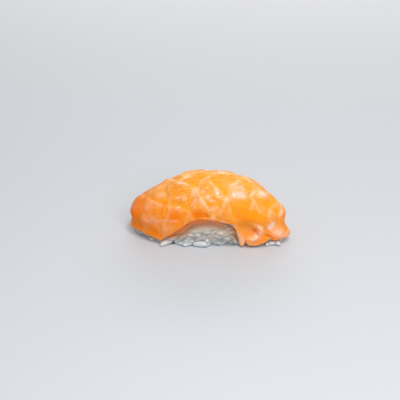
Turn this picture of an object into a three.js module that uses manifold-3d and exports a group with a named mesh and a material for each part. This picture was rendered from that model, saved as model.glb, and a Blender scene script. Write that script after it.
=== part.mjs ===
// Salmon nigiri: one scored slice of raw salmon draped over a hand-pressed loaf of rice.
//
// Millimetres, +Z up. X runs along the loaf, the front faces -Y, and z = 0 is the
// surface that the rice stands on. The origin is on that surface, under the loaf.
//
// The slice is a flat slab with the coordinates s, end to end, and w, front to back,
// both from -1 to 1. slabPoint() lays it over the rice: four hem curves say where its
// edge comes down, and a ridge curve says how high it stands between the hems.

import * as THREE from 'three';
import { mergeVertices } from 'three/addons/utils/BufferGeometryUtils.js';
import Module from 'manifold-3d';

const wasm = await Module();
wasm.setup();

// ---------------------------------------------------------------- driving dimensions

// The slice's edge, [x, y, z]. The front hem arches up over the bare rice, and the
// right end comes down as a lobe whose corner touches the surface.
const FRONT_HEM = [
  [-20.8, -13.9, 2.8], [-16.3, -14.6, 6.2], [-11.8, -14.7, 9.6], [-7.3, -14.6, 12.1],
  [-2.8, -14.5, 13.4], [1.6, -14.5, 13.7], [6.1, -14.2, 12.7], [11.8, -13.6, 10.3], [15, -12.3, 1],
];
const BACK_HEM = [
  [-21, 12.5, 3.5], [-14, 14, 8], [-6, 14.6, 11.5], [2, 14.6, 12.4],
  [10, 14.2, 10.5], [16, 13.4, 6.5], [20, 12.5, 1.8],
];
const LEFT_HEM = [
  [-20.8, -13.9, 2.8], [-28.2, -9.9, 3.3], [-35.5, -3.6, 3.9], [-35, 3.5, 4.5],
  [-29.5, 9, 4], [-21, 12.5, 3.5],
];
const RIGHT_HEM = [
  [15, -12.3, 1], [22, -11.2, 1.5], [28.8, -9.4, 2.2], [35, -4.8, 3.2],
  [34, 2.5, 3.4], [29, 8.5, 2.8], [20, 12.5, 1.8],
];
// The highest line of the slice, [x, z] from the left hem to the right one, with a
// flared tip and a waist above it at both ends.
const RIDGE = [
  [-35.6, 4.1], [-34.6, 8.2], [-34.9, 12.5], [-29.8, 17.9], [-21.7, 22.9], [-12.4, 27.2],
  [-2.8, 29.3], [6.8, 28.7], [15.5, 26.5], [23.1, 22.4], [29.2, 17.6], [32.7, 13.2],
  [32.5, 8.4], [35.2, 3.5],
];
const ARCH_POWER = 2.35; // of the rounded section across the slice: 2 is an ellipse
const END_SPREAD = 0.85; // how far that section opens out into a flat fan at both ends

const SLICE_THICK = 4.7; // on the ridge
const HEM_THICK = 2.3;
const HEM_ROUND = 0.2; // of the thickness: how far the edge's middle stands out
const SLICE_LOWEST = 0.3; // the slice stays this far above the surface

// Score cuts: V grooves with soft shoulders, between pillows of flesh.
const CUT_DEPTH = 0.36; // of the slice's thickness
const CUT_HALF_WIDTH = 0.75; // at the surface of the flesh
const CUT_OVERRUN = 3;
const SHOULDER_DROP = 0.16; // of the slice's thickness
const SHOULDER_REACH = 2.3;
// Each cut runs over the slice through these places, [s, w]. One that stops short of the
// hems fades out.
const RISING_CUTS = [
  [[-1, 0.3], [-0.82, 0.42], [-0.65, 0.68], [-0.52, 1]],
  [[-1, -0.45], [-0.78, -0.41], [-0.6, -0.33], [-0.47, -0.12], [-0.38, 0.35], [-0.26, 1]],
  [[-0.99, -1], [-0.72, -0.8], [-0.46, -0.61], [-0.34, -0.36], [-0.31, 0], [-0.18, 0.5], [-0.02, 1]],
  [[-0.42, -1], [-0.18, -0.71], [-0.08, -0.37], [-0.05, 0], [0.08, 0.5], [0.26, 1]],
  [[0.15, -1], [0.24, -0.74], [0.2, -0.4], [0.15, -0.04], [0.28, 0.48], [0.5, 1]],
  [[0.48, -0.46], [0.42, -0.3], [0.36, -0.06], [0.48, 0.4], [0.74, 1]],
  [[0.72, -0.4], [0.58, -0.22], [0.51, 0], [0.62, 0.3], [1, 0.85]],
];
const FALLING_CUTS = [
  [[-1, 0.75], [-0.72, 0.35], [-0.5, -0.06], [-0.38, -0.46], [-0.2, -0.74], [-0.08, -1]],
  [[-0.66, 1], [-0.44, 0.42], [-0.26, 0], [-0.09, -0.32], [0.06, -0.66], [0.3, -0.88], [0.4, -1]],
  [[-0.32, 1], [-0.14, 0.42], [0, -0.04], [0.16, -0.26], [0.33, -0.45], [0.52, -0.61], [0.7, -0.74]],
  [[0, 1], [0.12, 0.3], [0.24, -0.04], [0.41, -0.15], [0.58, -0.11], [0.74, -0.1]],
  [[0.4, 1], [0.5, 0.56], [0.68, 0.3], [0.86, 0.2]],
];

// Hollows (depth above 0) and swellings in the slice: place [s, w], radius in each
// direction in s and w, and depth. The first four shape the lobe's turned-up lip.
const DENTS = [
  { s: 0.8, w: -0.62, rs: 0.08, rw: 0.17, depth: 1.5 },
  { s: 0.79, w: -0.5, rs: 0.05, rw: 0.07, depth: 1.3 },
  { s: 0.79, w: -0.38, rs: 0.06, rw: 0.07, depth: -1.1 },
  { s: 0.94, w: -0.66, rs: 0.06, rw: 0.26, depth: -0.9 },
  { s: 0.92, w: -0.34, rs: 0.06, rw: 0.06, depth: 1.1 },
  { s: 0.88, w: -0.1, rs: 0.07, rw: 0.13, depth: -0.8 },
];
const UNEVEN = 0.28; // the slow swelling of the flesh, either way
const SWELL_ACROSS = { s: 5.3, w: 2.1, shift: 0.6 }; // two slow waves, in radians
const SWELL_ALONG = { s: -2.9, w: 3.7 };

// Rice: a core that fills the slice, down to a flat base, with grains fused on.
const RICE_GAP = 0.35;
const BASE_SHRINK = [0.82, 0.78]; // the base's outline against the hem's, along X and Y
const UNDERCUT = { s: 0.5, reach: 0.45, depth: 3 }; // where the front of the base draws back
const BASE_TRIM = 0.8; // the rice is made this much too deep, and trimmed flat
const WALL_BELLY = 0.13; // how far a wall swells, of its height
const WALL_CURL = 2.6; // how late the wall turns in to the base: 1 is a straight slope
const GRAIN_LENGTH = [5.2, 6.9];
const GRAIN_WIDTH = [2.3, 2.9];
const GRAIN_FLAT = 0.86; // a grain's thickness against its width
const GRAIN_BEND = 0.5;
const GRAIN_LEVELS = [1.1, 3.4, 5.8, 8.2, 10.6]; // the rows' heights
const GRAIN_SPACING = 4.7; // along a row
const GRAIN_HEADROOM = 1.2; // between a row and the slice
const GRAIN_SINK = 0.35; // how far a grain's middle lies inside the wall
const GRAIN_TURN = 2.4; // the range of a grain's slant in the wall, in radians
const GRAIN_LEAN = 0.5; // the range of its lean out of the wall
const GRAIN_JITTER = 1.2; // the range of its height in a row
// A grain that would cross the slice is tried again, lower and shorter each time.
const GRAIN_TRIES = 6;
const TRY_DROP = 0.06; // of the wall's height
const TRY_SHRINK = 0.95;
const RICE_SEED = 41;

// How finely the shapes are faceted.
const SLICE_GRID = [36, 16];
const WALL_STEPS = 4;
const CUT_STEPS = 14;
const FRAME_STEP = 0.004; // in s and w, for the slope of the drape
const AT_HEM = 0.999; // an s or w beyond this is the slab's edge
const INSIDE_HEM = 0.998; // scales s and w to just inside it

const SALMON_COLOUR = 0xf3974a;
const RICE_COLOUR = 0xdcdad4;

// ---------------------------------------------------------------- small helpers

function seededRandom(seed) {
  let state = seed;
  return () => {
    state = (state + 0x6d2b79f5) | 0;
    let t = Math.imul(state ^ (state >>> 15), 1 | state);
    t = (t + Math.imul(t ^ (t >>> 7), 61 | t)) ^ t;
    return ((t ^ (t >>> 14)) >>> 0) / 4294967296;
  };
}

const mix = THREE.MathUtils.lerp;
const clamp = THREE.MathUtils.clamp;
const smoothstep = THREE.MathUtils.smoothstep;

function smoothCurve(points) {
  const places = points.map(([x, y, z = 0]) => new THREE.Vector3(x, y, z));
  return new THREE.CatmullRomCurve3(places, false, 'catmullrom', 0.5);
}

// Moves every vertex of a closed geometry by place(vector) and returns it as a solid.
function shapedSolid(geometry, place) {
  const bare = geometry.clone();
  bare.deleteAttribute('normal');
  bare.deleteAttribute('uv');
  const merged = mergeVertices(bare);
  const position = merged.getAttribute('position');
  const vertex = new THREE.Vector3();
  for (let i = 0; i < position.count; i += 1) {
    vertex.fromBufferAttribute(position, i);
    const moved = place(vertex);
    position.setXYZ(i, moved.x, moved.y, moved.z);
  }
  return new wasm.Manifold(new wasm.Mesh({
    numProp: 3,
    vertProperties: new Float32Array(position.array),
    triVerts: new Uint32Array(merged.index.array),
  }));
}

function largestPiece(solid) {
  const pieces = solid.decompose();
  return pieces.reduce((best, piece) => (piece.volume() > best.volume() ? piece : best));
}

function namedMesh(name, solid, colour, roughness) {
  const result = solid.getMesh();
  const geometry = new THREE.BufferGeometry();
  geometry.setAttribute('position', new THREE.BufferAttribute(result.vertProperties, 3));
  geometry.setIndex(new THREE.BufferAttribute(result.triVerts, 1));
  geometry.computeVertexNormals();
  const material = new THREE.MeshStandardMaterial({ color: colour, roughness, metalness: 0 });
  const mesh = new THREE.Mesh(geometry, material);
  mesh.name = name;
  return mesh;
}

// ---------------------------------------------------------------- the draped slice

const frontHem = smoothCurve(FRONT_HEM);
const backHem = smoothCurve(BACK_HEM);
const leftHem = smoothCurve(LEFT_HEM);
const rightHem = smoothCurve(RIGHT_HEM);
const ridge = smoothCurve(RIDGE.map(([x, z]) => [x, 0, z]));

// The patch that the four hems span, at u along and v across, from 0 to 1.
function hemPatch(u, v) {
  const front = frontHem.getPoint(u);
  const back = backHem.getPoint(u);
  const left = leftHem.getPoint(v);
  const right = rightHem.getPoint(v);
  const corners = front.clone().set(0, 0, 0)
    .addScaledVector(frontHem.getPoint(0), (1 - u) * (1 - v))
    .addScaledVector(frontHem.getPoint(1), u * (1 - v))
    .addScaledVector(backHem.getPoint(0), (1 - u) * v)
    .addScaledVector(backHem.getPoint(1), u * v);
  return front.multiplyScalar(1 - v)
    .addScaledVector(back, v)
    .addScaledVector(left, 1 - u)
    .addScaledVector(right, u)
    .sub(corners);
}

// The smooth outer surface: the hem patch, lifted to the ridge by a rounded arch.
function drapePoint(s, w) {
  const turn = w * Math.PI / 2;
  const sine = Math.sin(turn);
  const cosine = Math.max(Math.cos(turn), 0);
  const reach = (Math.abs(sine) ** ARCH_POWER + cosine ** ARCH_POWER) ** (-1 / ARCH_POWER);
  const u = (1 + s) / 2;
  const side = mix(sine * reach, w, END_SPREAD * smoothstep(Math.abs(s), 0.5, 1));
  const point = hemPatch(u, (1 + side) / 2);
  const lift = ridge.getPoint(u).sub(hemPatch(u, 0.5));
  point.x += lift.x * cosine * reach;
  point.z += lift.z * cosine * reach;
  return point;
}

// Unit vectors at a place on the slice: along s, along w and out of the surface.
function drapeFrame(s, w) {
  const low = (value) => Math.max(value - FRAME_STEP, -1);
  const high = (value) => Math.min(value + FRAME_STEP, 1);
  const along = drapePoint(high(s), w).sub(drapePoint(low(s), w));
  const across = drapePoint(s, high(w)).sub(drapePoint(s, low(w)));
  const out = along.clone().cross(across).normalize();
  return { along: along.normalize(), across: across.normalize(), out };
}

// Score cuts as lists of places on the slice, with the point on the drape.
function cutPlaces(cut) {
  const path = smoothCurve(cut);
  return Array.from({ length: CUT_STEPS + 1 }, (_, i) => {
    const { x: s, y: w } = path.getPoint(i / CUT_STEPS);
    return { s: clamp(s, -1, 1), w: clamp(w, -1, 1) };
  });
}

const cuts = [...RISING_CUTS, ...FALLING_CUTS].map(cutPlaces);
const cutLines = cuts.map((places) => places.map(({ s, w }) => drapePoint(s, w)));

function distanceToCuts(point) {
  let nearest = Infinity;
  const closest = new THREE.Vector3();
  for (const line of cutLines) {
    for (let i = 1; i < line.length; i += 1) {
      new THREE.Line3(line[i - 1], line[i]).closestPointToPoint(point, true, closest);
      nearest = Math.min(nearest, closest.distanceTo(point));
    }
  }
  return nearest;
}

// How far the flesh stands out of the smooth drape: pillows, hollows and slow waves.
function relief(s, w, point) {
  const nearness = Math.exp(-((distanceToCuts(point) / SHOULDER_REACH) ** 2));
  const shoulder = SHOULDER_DROP * sliceThickness(s, w) * nearness;
  const waveAcross = Math.sin(SWELL_ACROSS.s * s + SWELL_ACROSS.w * w + SWELL_ACROSS.shift);
  const waveAlong = Math.cos(SWELL_ALONG.s * s + SWELL_ALONG.w * w);
  let height = UNEVEN * waveAcross * waveAlong - shoulder;
  for (const dent of DENTS) {
    const away = ((s - dent.s) / dent.rs) ** 2 + ((w - dent.w) / dent.rw) ** 2;
    height -= dent.depth * Math.exp(-away);
  }
  return height;
}

function sliceThickness(s, w) {
  const edge = Math.max(Math.abs(s) ** 1.6, w ** 2);
  return mix(SLICE_THICK, HEM_THICK, edge);
}

// A point of the slab: layer 1 is its outer face, -1 its inner face and 0 the middle of
// its rounded edge. grow fattens it all round.
function slabPoint(s, w, layer, grow = 0) {
  const point = drapePoint(s, w);
  const { along, across, out } = drapeFrame(s, w);
  const thick = sliceThickness(s, w);
  const onEnd = Math.abs(s) > AT_HEM;
  const onSide = Math.abs(w) > AT_HEM;
  const outerHeight = relief(s, w, point) + grow;
  const innerHeight = -thick - grow;
  point.addScaledVector(out, mix(innerHeight, outerHeight, (1 + layer) / 2));
  if (onEnd || onSide) {
    const outward = new THREE.Vector3();
    if (onEnd) outward.addScaledVector(along, Math.sign(s));
    if (onSide) outward.addScaledVector(across, Math.sign(w));
    const standing = HEM_ROUND * thick * (layer === 0 ? 1 : -1) + grow;
    point.addScaledVector(outward.normalize(), standing);
  }
  point.z = Math.max(point.z, SLICE_LOWEST - grow);
  return point;
}

function sliceSlab(grow) {
  const slab = new THREE.BoxGeometry(2, 2, 2, ...SLICE_GRID, 2);
  return shapedSolid(slab, ({ x: s, y: w, z: layer }) => slabPoint(s, w, layer, grow));
}

// A V-shaped bar along one score cut. It runs out past the hems, and an end that stops
// short of them rises out of the flesh.
function cutBar(places) {
  const last = places.length - 1;
  const frames = places.map(({ s, w }) => drapeFrame(s, w));
  const points = places.map(({ s, w }) => slabPoint(s * INSIDE_HEM, w * INSIDE_HEM, 1));
  for (const [end, next] of [[0, 1], [last, last - 1]]) {
    const { s, w } = places[end];
    const atHem = Math.max(Math.abs(s), Math.abs(w)) > AT_HEM;
    const onward = points[end].clone().sub(points[next]).normalize();
    points[end].addScaledVector(atHem ? onward : frames[end].out, CUT_OVERRUN);
  }
  const bar = new THREE.CylinderGeometry(1, 1, last, 3, last);
  return shapedSolid(bar, ({ x, y, z }) => {
    const i = Math.round(y + last / 2);
    const { out } = frames[i];
    const onward = points[Math.min(i + 1, last)].clone().sub(points[Math.max(i - 1, 0)]);
    const side = onward.cross(out).normalize();
    // One corner of the three-sided bar, z = 1, is the bottom of the cut. The other two,
    // z = -1/2, stand out of the flesh, and a cap's centre lies between them.
    const depth = CUT_DEPTH * sliceThickness(places[i].s, places[i].w);
    const height = mix(depth, -depth, (z + 0.5) / 1.5);
    const width = -x * CUT_HALF_WIDTH * 2 / Math.cos(Math.PI / 6);
    return points[i].clone().addScaledVector(out, height).addScaledVector(side, width);
  });
}

function makeSalmon() {
  let slice = sliceSlab(0);
  for (const places of cuts) {
    slice = slice.subtract(cutBar(places));
  }
  return largestPiece(slice);
}

// ---------------------------------------------------------------- the rice

// The top of the rice core: the slice's inner face, less the gap.
function coreTop(s, w) {
  const point = drapePoint(s, w);
  const { out } = drapeFrame(s, w);
  return point.addScaledVector(out, -sliceThickness(s, w) - RICE_GAP);
}

function coreBase(s, w) {
  const point = hemPatch((1 + s) / 2, (1 + w) / 2);
  const undercut = UNDERCUT.depth * Math.exp(-(((s - UNDERCUT.s) / UNDERCUT.reach) ** 2));
  point.y = point.y * BASE_SHRINK[1] + undercut * (1 - w) / 2;
  return point.set(point.x * BASE_SHRINK[0], point.y, -BASE_TRIM);
}

// The core's wall at a place on the slab's edge, from its base, 0, to the slice, 1.
function coreWall(s, w, rise) {
  const top = coreTop(s, w);
  const base = coreBase(s, w);
  const point = top.clone().lerp(base, (1 - rise) ** WALL_CURL);
  const outward = new THREE.Vector3(base.x * 0.4, base.y, 0).normalize();
  point.addScaledVector(outward, WALL_BELLY * top.z * Math.sin(Math.PI * rise));
  point.z = mix(-BASE_TRIM, top.z, rise);
  return point;
}

function makeCore() {
  const block = new THREE.BoxGeometry(2, 2, 2, ...SLICE_GRID, WALL_STEPS);
  return shapedSolid(block, ({ x: s, y: w, z }) => {
    const onWall = Math.max(Math.abs(s), Math.abs(w)) > AT_HEM;
    if (onWall) return coreWall(s, w, (1 + z) / 2);
    return z > 0 ? coreTop(s, w) : coreBase(s, w);
  });
}

// Walks round the slab's edge, with turn from 0 to 1 at an even pace.
const hemSides = [
  { curve: frontHem, place: (t) => [2 * t - 1, -1] },
  { curve: rightHem, place: (t) => [1, 2 * t - 1] },
  { curve: backHem, place: (t) => [1 - 2 * t, 1] },
  { curve: leftHem, place: (t) => [-1, 1 - 2 * t] },
];
const hemLengths = hemSides.map(({ curve }) => curve.getLength());
const hemTotal = hemLengths.reduce((sum, length) => sum + length);

function hemPlace(turn) {
  let rest = (turn % 1) * hemTotal;
  for (let i = 0; i < hemSides.length; i += 1) {
    if (rest <= hemLengths[i]) return hemSides[i].place(rest / hemLengths[i]);
    rest -= hemLengths[i];
  }
  return hemSides[0].place(0);
}

// One bent grain with round ends: x along it, z out of the wall.
function grainSolid(size, place) {
  const grain = new THREE.SphereGeometry(1, 5, 4);
  return shapedSolid(grain, ({ x, y, z }) => {
    const fullness = Math.hypot(x, z) ** -0.3;
    const round = Number.isFinite(fullness) ? fullness : 1;
    const local = new THREE.Vector3(
      y * size.length / 2,
      x * round * size.width / 2 + GRAIN_BEND * (1 - y * y),
      -z * round * size.width * GRAIN_FLAT / 2,
    );
    return local.applyMatrix4(place);
  });
}

function grainPlacement(s, w, turn, rise, random) {
  const centre = coreWall(s, w, rise);
  const up = coreWall(s, w, Math.min(rise + 0.05, 1)).sub(coreWall(s, w, Math.max(rise - 0.05, 0)));
  const [s2, w2] = hemPlace(turn + 0.01);
  const onward = coreWall(s2, w2, rise).sub(centre).normalize();
  const out = onward.clone().cross(up).normalize();
  up.crossVectors(out, onward);
  const tilt = (random() - 0.5) * GRAIN_TURN;
  const along = onward.multiplyScalar(Math.cos(tilt)).addScaledVector(up, Math.sin(tilt));
  along.addScaledVector(out, (random() - 0.5) * GRAIN_LEAN).normalize();
  const side = out.clone().cross(along).normalize();
  out.crossVectors(along, side);
  centre.addScaledVector(out, -GRAIN_SINK);
  return new THREE.Matrix4().makeBasis(along, side, out).setPosition(centre);
}

function makeRice() {
  const random = seededRandom(RICE_SEED);
  const slice = sliceSlab(RICE_GAP);
  const grains = [];
  for (const [row, level] of GRAIN_LEVELS.entries()) {
    const count = Math.round(hemTotal / GRAIN_SPACING);
    for (let i = 0; i < count; i += 1) {
      const turn = (i + (row % 2) / 2 + (random() - 0.5) * 0.5) / count + 1;
      const [s, w] = hemPlace(turn);
      const wallHeight = coreTop(s, w).z;
      const length = mix(...GRAIN_LENGTH, random());
      const width = mix(...GRAIN_WIDTH, random());
      const height = level + (random() - 0.5) * GRAIN_JITTER;
      if (row > 0 && height > wallHeight - GRAIN_HEADROOM) continue;
      for (let tries = 0; tries < GRAIN_TRIES; tries += 1) {
        const rise = clamp(height / wallHeight - TRY_DROP * tries, 0.05, 1);
        const place = grainPlacement(s, w, turn, rise, random);
        const grain = grainSolid({ length: length * TRY_SHRINK ** tries, width }, place);
        if (grain.intersect(slice).isEmpty()) {
          grains.push(grain);
          break;
        }
      }
    }
  }
  const rice = wasm.Manifold.union([makeCore(), ...grains]);
  const span = 100;
  const surface = new THREE.BoxGeometry(span, span, span).translate(0, 0, -span / 2);
  return largestPiece(rice.subtract(shapedSolid(surface, (corner) => corner)));
}

// ---------------------------------------------------------------- the part

const nigiri = new THREE.Group();
nigiri.add(namedMesh('rice', makeRice(), RICE_COLOUR, 0.55));
nigiri.add(namedMesh('salmon', makeSalmon(), SALMON_COLOUR, 0.3));

export default nigiri;
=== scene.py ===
"""Salmon nigiri: a scored slice of raw salmon draped over a hand-pressed loaf of rice.

Metres, +Z up. X runs along the loaf, the front faces -Y, and z = 0 is the surface
that the rice stands on. Sizes are written in millimetres and scaled by MM.

The slice starts as a flat slab with the coordinates s, end to end, and w, front to
back, both from -1 to 1, and is laid over the rice by drape().
"""

import math

import bpy
import numpy as np
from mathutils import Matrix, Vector
from mathutils.bvhtree import BVHTree


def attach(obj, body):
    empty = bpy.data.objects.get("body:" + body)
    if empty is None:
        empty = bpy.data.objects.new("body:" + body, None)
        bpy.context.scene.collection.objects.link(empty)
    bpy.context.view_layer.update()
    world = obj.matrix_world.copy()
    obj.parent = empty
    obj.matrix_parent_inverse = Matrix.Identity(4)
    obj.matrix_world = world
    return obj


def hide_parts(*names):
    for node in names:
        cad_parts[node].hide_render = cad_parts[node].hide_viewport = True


MM = 0.001

# ------------------------------------------------------------- the slice's drape, in mm

FRONT_HEM = [
    (-20.8, -13.9, 2.8), (-16.3, -14.6, 6.2), (-11.8, -14.7, 9.6), (-7.3, -14.6, 12.1),
    (-2.8, -14.5, 13.4), (1.6, -14.5, 13.7), (6.1, -14.2, 12.7), (11.8, -13.6, 10.3), (15, -12.3, 1),
]
BACK_HEM = [
    (-21, 12.5, 3.5), (-14, 14, 8), (-6, 14.6, 11.5), (2, 14.6, 12.4),
    (10, 14.2, 10.5), (16, 13.4, 6.5), (20, 12.5, 1.8),
]
LEFT_HEM = [
    (-20.8, -13.9, 2.8), (-28.2, -9.9, 3.3), (-35.5, -3.6, 3.9), (-35, 3.5, 4.5),
    (-29.5, 9, 4), (-21, 12.5, 3.5),
]
RIGHT_HEM = [
    (15, -12.3, 1), (22, -11.2, 1.5), (28.8, -9.4, 2.2), (35, -4.8, 3.2),
    (34, 2.5, 3.4), (29, 8.5, 2.8), (20, 12.5, 1.8),
]
RIDGE = [
    (-35.6, 0, 4.1), (-34.6, 0, 8.2), (-34.9, 0, 12.5), (-29.8, 0, 17.9), (-21.7, 0, 22.9),
    (-12.4, 0, 27.2), (-2.8, 0, 29.3), (6.8, 0, 28.7), (15.5, 0, 26.5), (23.1, 0, 22.4),
    (29.2, 0, 17.6), (32.7, 0, 13.2), (32.5, 0, 8.4), (35.2, 0, 3.5),
]
ARCH_POWER = 2.35
END_SPREAD = 0.85
END_STRETCH = (0.5, 1)  # where in s, from the middle outwards, that sets in
SLICE_THICK = 4.7
HEM_THICK = 2.3
SLICE_LOWEST = 0.3
END_THINNING = 1.6  # powers: how late the slice thins towards its ends and its hems
HEM_THINNING = 2
FRAME_STEP = 0.004  # in s and w, for the directions of the surface
WAVE_SIZES = (0.7, 1.5)  # the range of one pattern's waves, as shares of its size
WAVE_CREST = 1.6  # brings most of their sums to between -1 and 1

# Score cuts through places, each [s, w, how pale the proud edge is there, partly a painted
# highlight, how golden the flesh is that sinks towards it, a painted shade].
RISING_CUTS = [
    [(-1, 0.3, 0.3, 0.3), (-0.82, 0.42, 0.5, 0.5), (-0.65, 0.68, 0.4, 0.6), (-0.52, 1, 0.3, 0.3)],
    [(-1, -0.45, 0.3, 0.1), (-0.78, -0.41, 0.6, 0.3), (-0.6, -0.33, 0.6, 0.5), (-0.47, -0.12, 0.5, 0.7),
     (-0.38, 0.35, 0.3, 0.5), (-0.26, 1, 0.3, 0.5)],
    [(-0.99, -1, 0.6, 0.2), (-0.72, -0.8, 0.7, 0.5), (-0.46, -0.61, 0.9, 0.9), (-0.34, -0.36, 0.5, 0.9),
     (-0.31, 0, 0.2, 0.7), (-0.18, 0.5, 0.3, 0.5), (-0.02, 1, 0.3, 0.4)],
    [(-0.42, -1, 0.1, 0.1), (-0.18, -0.71, 0.6, 0.4), (-0.08, -0.37, 1, 0.5), (-0.05, 0, 0.7, 0.5),
     (0.08, 0.5, 0.4, 0.5), (0.26, 1, 0.3, 0.4)],
    [(0.15, -1, 0.2, 0.3), (0.24, -0.74, 0.8, 0.8), (0.2, -0.4, 1, 0.9), (0.15, -0.04, 0.9, 0.7),
     (0.28, 0.48, 0.4, 0.6), (0.5, 1, 0.3, 0.4)],
    [(0.48, -0.46, 0.2, 0.3), (0.42, -0.3, 0.6, 0.5), (0.36, -0.06, 0.7, 0.6), (0.48, 0.4, 0.4, 0.6),
     (0.74, 1, 0.3, 0.4)],
    [(0.72, -0.4, 0.9, 0.4), (0.58, -0.22, 0.9, 0.7), (0.51, 0, 0.5, 1), (0.62, 0.3, 0.4, 0.6),
     (1, 0.85, 0.3, 0.4)],
]
FALLING_CUTS = [
    [(-1, 0.75, 0.3, 0.3), (-0.72, 0.35, 0.3, 0.4), (-0.5, -0.06, 0.6, 0.7), (-0.38, -0.46, 0.6, 0.9),
     (-0.2, -0.74, 0.4, 0.8), (-0.08, -1, 0.1, 0.2)],
    [(-0.66, 1, 0.3, 0.3), (-0.44, 0.42, 0.3, 0.4), (-0.26, 0, 0.4, 0.5), (-0.09, -0.32, 0.6, 0.9),
     (0.06, -0.66, 1, 1), (0.3, -0.88, 0.8, 0.4), (0.4, -1, 0.3, 0.1)],
    [(-0.32, 1, 0.3, 0.4), (-0.14, 0.42, 0.3, 0.6), (0, -0.09, 0.3, 1), (0.15, -0.31, 0.4, 1),
     (0.33, -0.53, 0.5, 1), (0.5, -0.69, 0.3, 1), (0.68, -0.8, 0.1, 0.5)],
    [(0, 1, 0.3, 0.4), (0.12, 0.3, 0.4, 0.5), (0.24, -0.04, 0.3, 0.6), (0.41, -0.15, 0.5, 1),
     (0.58, -0.11, 0.3, 1), (0.74, -0.1, 0.2, 0.4)],
    [(0.4, 1, 0.3, 0.4), (0.5, 0.56, 0.4, 0.6), (0.68, 0.3, 0.4, 0.6), (0.86, 0.2, 0.3, 0.3)],
]
RISING_STRENGTHS = [0.7, 0.75, 0.75, 0.85, 0.85, 0.7, 0.5]
FALLING_STRENGTHS = [0.8, 1.0, 1.0, 1.1, 0.8]
CUT_STEPS = 24
PROFILE_STEPS = 120
# Across a cut, [distance, height]: the piece above sinks towards it, and the edge of the
# piece below stands proud.
CUT_PROFILE = [
    (-5, 0), (-3.6, -0.05), (-2.4, -0.18), (-1.4, -0.4), (-0.6, -0.58), (0, -0.6),
    (0.6, -0.3), (1.3, 0.08), (1.9, 0.2), (2.8, 0.12), (4, 0.03), (5, 0),
]
CUT_DEEPEST = 0.6
CUT_FADE = 0.2  # the share of a cut over which it fades out, where it ends within the slab
SLAB_EDGE = 0.98  # past this in s or w it runs off the slab instead
CUT_WANDER = {"size": 6, "seeds": (3, 4, 5), "amount": 0.3}
CUT_EDGE = 0.55  # where the colour changes
# The pale proud edge, partly a painted highlight, and the golden dip beside a cut, a painted
# shade: soft bands, [share, width], and the stretch over which each sets in.
PALE_BANDS = [(0.8, 1.5), (0.2, 3.5)]
PALE_ONSET = (-0.25, 0.35)
GOLD_SHADE_BANDS = [(0.7, 1.4), (0.3, 4)]
GOLD_SHADE_ONSET = (-0.2, 0.2)
PALE_LOSS = {"groove": 0.7, "deep": 0.8}  # what pale edges lose in a groove and in the deep painted shade
PALE_CLOUDS = {"size": 6, "seed": 31, "middle": 0.8, "swing": 0.4}

# Hollows (depth above 0) and swellings: place, radii in s and w, and depth.
DENTS = [
    (0.8, -0.7, 0.08, 0.16, 1.3),
    (0.86, -0.56, 0.035, 0.04, 1.7),
    (0.96, -0.66, 0.05, 0.26, -0.8),
    (0.94, -0.37, 0.045, 0.045, 1.2),
    (0.9, -0.16, 0.07, 0.12, -0.8),
    (0.78, -0.16, 0.05, 0.05, 0.7),
    (0.72, -0.06, 0.04, 0.1, 0.8),
    (0.72, -0.97, 0.04, 0.06, 0.5),
    (0.96, -0.7, 0.025, 0.14, 0.5),
    (0.17, -0.95, 0.03, 0.05, 0.9),
]
# Ripples of the flesh: size, seed and rise.
RIPPLES = [(14, 11, 0.28), (4.5, 16, 0.07), (2.2, 14, 0.035), (1.3, 13, 0.01)]
# The bend of the lip that is turned up round the lobe's pocket, at places [s, w].
LIP_BEND = [(0.835, -0.455), (0.885, -0.53), (0.915, -0.63), (0.92, -0.72), (0.91, -0.84)]
# Raised folds (height above 0) and creases along places [s, w], with height and width in mm.
FOLDS = [
    ([(0.74, -0.56), (0.78, -0.47), *LIP_BEND], 1.1, 0.7),
    ([(0.56, -0.29), (0.65, -0.28), (0.73, -0.27), (0.79, -0.23)], 0.5, 0.7),
    ([(0.6, -0.02), (0.68, -0.04), (0.78, -0.08), (0.86, -0.06)], 0.4, 0.9),
    ([(0.78, -0.36), (0.84, -0.33), (0.9, -0.3)], -0.6, 0.6),
    ([(0.02, -0.84), (0.1, -0.89), (0.17, -0.94)], -0.5, 0.5),
    ([(-0.03, -0.92), (0.07, -0.93), (0.17, -0.95)], -0.5, 0.5),
    ([(-0.74, -0.24), (-0.8, -0.27), (-0.86, -0.28)], 0.5, 0.8),
]
FOLD_FADE = (0, 0.25)  # the share of a fold over which its ends rise
# Pulls of the slab's edge and corners: place, radii in s and w, and the move in mm.
PULLS = [
    (0.99, -0.9, 0.07, 0.035, (0, 0.3, 1.7)),
    (0.99, -1, 0.07, 0.035, (-0.3, 0, -0.4)),
    (0.99, -0.39, 0.06, 0.07, (0, 0.2, 1.5)),
    (1, -0.69, 0.05, 0.16, (0, -0.3, -0.6)),
    (-0.72, -1, 0.1, 0.06, (0, 0, -0.8)),
    (-1, -0.2, 0.06, 0.09, (-0.7, 0, 0.2)),
    (-0.5, -1, 0.14, 0.08, (0, 0, -1.1)),
    (0.99, 0.1, 0.05, 0.03, (0.5, -0.2, 0.2)),
]
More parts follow.
